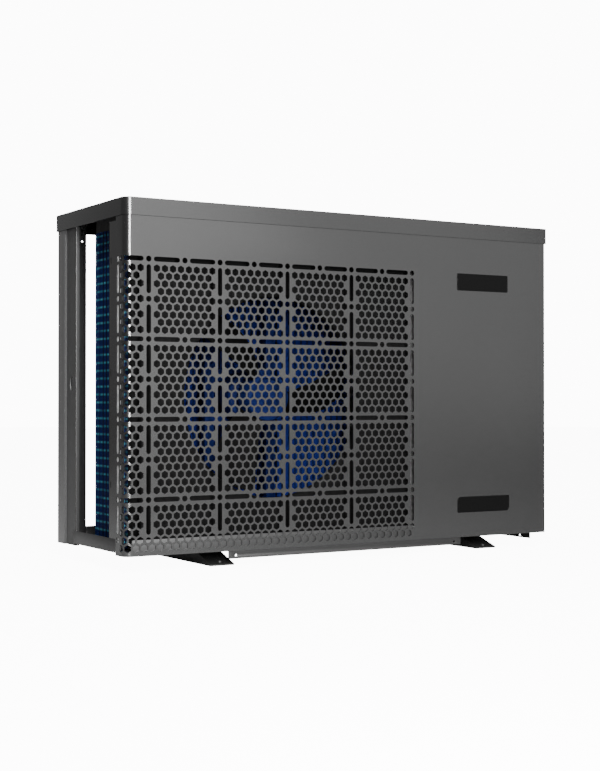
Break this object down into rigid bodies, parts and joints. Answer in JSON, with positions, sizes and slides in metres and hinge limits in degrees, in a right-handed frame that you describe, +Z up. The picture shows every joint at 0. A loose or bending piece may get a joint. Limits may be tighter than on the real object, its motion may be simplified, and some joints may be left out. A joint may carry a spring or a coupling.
{
  "type": "pool and spa heat pump",
  "caption": "Horizontal pool and spa heat pump: folded metal cabinet, hexagon-perforated grille, finned coil, axial fan, compressor bay and side water unions.",
  "frame": {"origin": "centre of the whole object's box, on the ground the feet stand on", "axes": "+X to the unit's right seen from the front, front face towards -Y, +Z up"},
  "size_m": [1.0384, 0.3332, 0.678],
  "materials": {
    "cabinet_coat": "fine-textured charcoal powder coat, satin",
    "base_coat": "charcoal powder coat, satin",
    "black_coat": "matte black powder coat",
    "shroud_coat": "dark grey coat, matte",
    "fin_coating": "hydrophilic blue coated fins, satin",
    "galvanised": "galvanised sheet, satin",
    "steel": "bright steel",
    "copper": "drawn copper, dull",
    "brass": "forged brass, dull",
    "aluminium": "extruded, satin",
    "rubber": "moulded rubber, matte",
    "foam": "closed-cell foam, matte",
    "black_plastic": "moulded, satin",
    "grey_plastic": "moulded, satin",
    "plate_black": "gloss black"
  },
  "bodies": {
    "cabinet": {"lid": "cabinet_coat", "front_panel": "cabinet_coat", "right_side_panel": "cabinet_coat", "rear_panel": "cabinet_coat", "rear_left_post": "cabinet_coat", "rear_top_rail": "black_coat", "base_pan": "base_coat", "left_foot": "black_coat", "right_foot": "black_coat", "front_rail": "base_coat", "right_rail": "black_coat", "mid_partition": "galvanised", "fan_shroud": "shroud_coat", "motor_bracket": "galvanised", "fan_motor": "black_coat", "coil_fins": "fin_coating", "coil_top_seal": "foam", "coil_front_tube_sheet": "black_coat", "coil_rear_tube_sheet": "galvanised", "coil_header": "copper", "compressor": "black_coat", "compressor_mount_1": "rubber", "compressor_mount_2": "rubber", "compressor_mount_3": "rubber", "accumulator": "black_coat", "heat_exchanger": "black_plastic", "four_way_valve": "brass", "expansion_valve": "brass", "discharge_pipe": "copper", "suction_pipe": "copper", "exchanger_gas_pipe": "copper", "coil_gas_pipe": "copper", "liquid_pipe": "copper", "water_inlet_port": "grey_plastic", "water_outlet_port": "grey_plastic", "inlet_union_tail": "grey_plastic", "outlet_union_tail": "grey_plastic", "control_box": "galvanised", "control_box_cover": "galvanised", "inverter_heat_sink": "aluminium", "terminal_cover": "cabinet_coat", "cable_gland": "black_plastic", "drain_spigot": "black_plastic", "name_plate": "plate_black", "label_plate": "plate_black", "lid_screw_rear_1": "steel", "lid_screw_rear_2": "steel", "lid_screw_rear_3": "steel", "lid_screw_right_1": "steel", "lid_screw_right_2": "steel", "rear_panel_screw_1": "steel", "rear_panel_screw_2": "steel", "rear_panel_screw_3": "steel"},
    "fan": {"fan_impeller": "black_plastic", "fan_shaft": "steel", "fan_nut": "steel"},
    "inlet_nut": {"inlet_union_nut": "black_plastic"},
    "outlet_nut": {"outlet_union_nut": "black_plastic"}
  },
  "joints": [
    {"name": "fan_spin", "type": "hinge", "parent": "cabinet", "child": "fan", "pos_m": [-0.18155, -0.0781, 0.3158], "axis": [0, 1, 0], "continuous": true},
    {"name": "inlet_nut_turn", "type": "hinge", "parent": "cabinet", "child": "inlet_nut", "pos_m": [0.48625, 0.0409, 0.15], "axis": [1, 0, 0], "continuous": true},
    {"name": "outlet_nut_turn", "type": "hinge", "parent": "cabinet", "child": "outlet_nut", "pos_m": [0.48625, 0.0409, 0.4], "axis": [1, 0, 0], "continuous": true}
  ]
}
